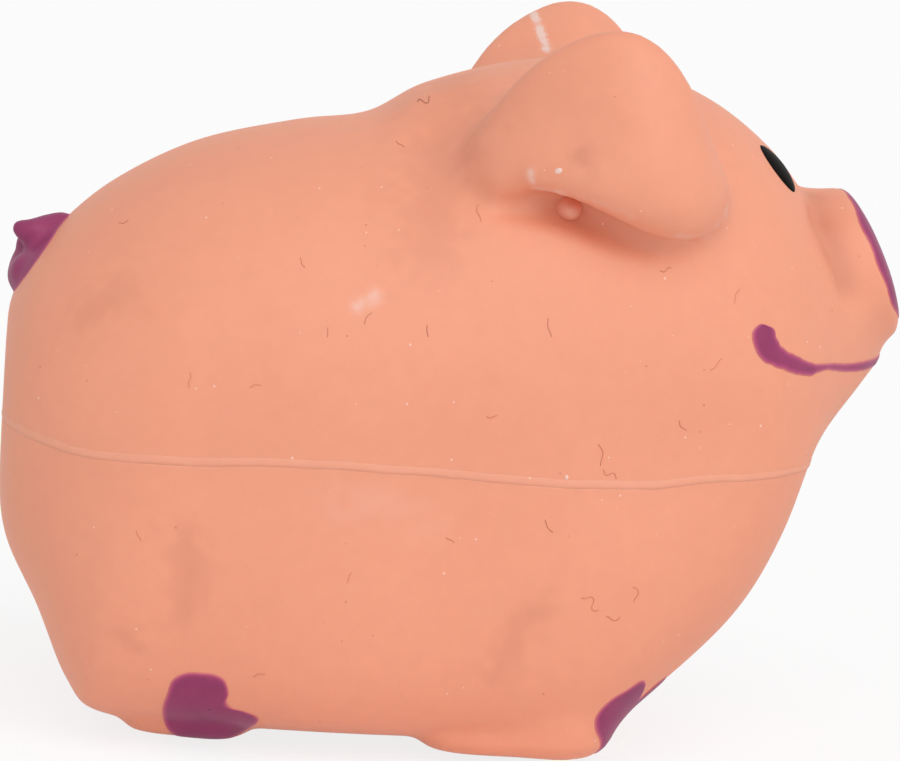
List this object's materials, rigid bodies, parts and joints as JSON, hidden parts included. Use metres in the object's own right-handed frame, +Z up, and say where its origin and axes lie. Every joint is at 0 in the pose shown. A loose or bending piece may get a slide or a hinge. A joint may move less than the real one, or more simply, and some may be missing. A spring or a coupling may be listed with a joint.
{
  "type": "latex pig dog toy",
  "caption": "Plump latex squeaky toy shaped as a standing pig, with drooping ears, a raised snout, coloured nose, smile, tail and hooves, soft fill and a reed squeaker in the belly.",
  "frame": {"origin": "on the floor under the middle of the toy", "axes": "+X from rump to snout, +Y to the pig's left, +Z up"},
  "size_m": [0.1194, 0.0768, 0.0961],
  "materials": {
    "coral_latex": "matte moulded latex",
    "seam_latex": "matte latex flash",
    "purple_latex": "satin coloured latex",
    "black_gloss": "glossy",
    "polyester_fibre": "loose fibre",
    "white_plastic": "moulded",
    "clear_film": "smooth film"
  },
  "bodies": {
    "lower_body": {"lower_skin": "coral_latex", "lower_fill": "polyester_fibre", "hoof_rear_left": "purple_latex", "hoof_rear_right": "purple_latex", "hoof_front_left": "purple_latex", "hoof_front_right": "purple_latex", "squeaker_cup": "white_plastic", "reed_tube": "white_plastic", "reed_collar": "white_plastic"},
    "upper_body": {"upper_skin": "coral_latex", "seam_bead": "seam_latex", "upper_fill": "polyester_fibre", "eye_left": "black_gloss", "eye_right": "black_gloss", "nose_pad": "purple_latex", "mouth_line": "purple_latex", "tail": "purple_latex"},
    "reed_tongue": {"reed": "clear_film"}
  },
  "joints": [
    {"name": "squeeze", "type": "slide", "parent": "lower_body", "child": "upper_body", "axis": [0, 0, -1], "range_m": [0, 0.012], "stiffness_N_per_m": 1500, "springref_m": -0.0006, "deforming": ["lower_skin", "lower_fill"]},
    {"name": "reed_flutter", "type": "hinge", "parent": "lower_body", "child": "reed_tongue", "pos_m": [-0.01005, 0, 0.0165], "axis": [0, 1, 0], "range_deg": [-2, 3], "stiffness_Nm_per_rad": 0.0001}
  ]
}
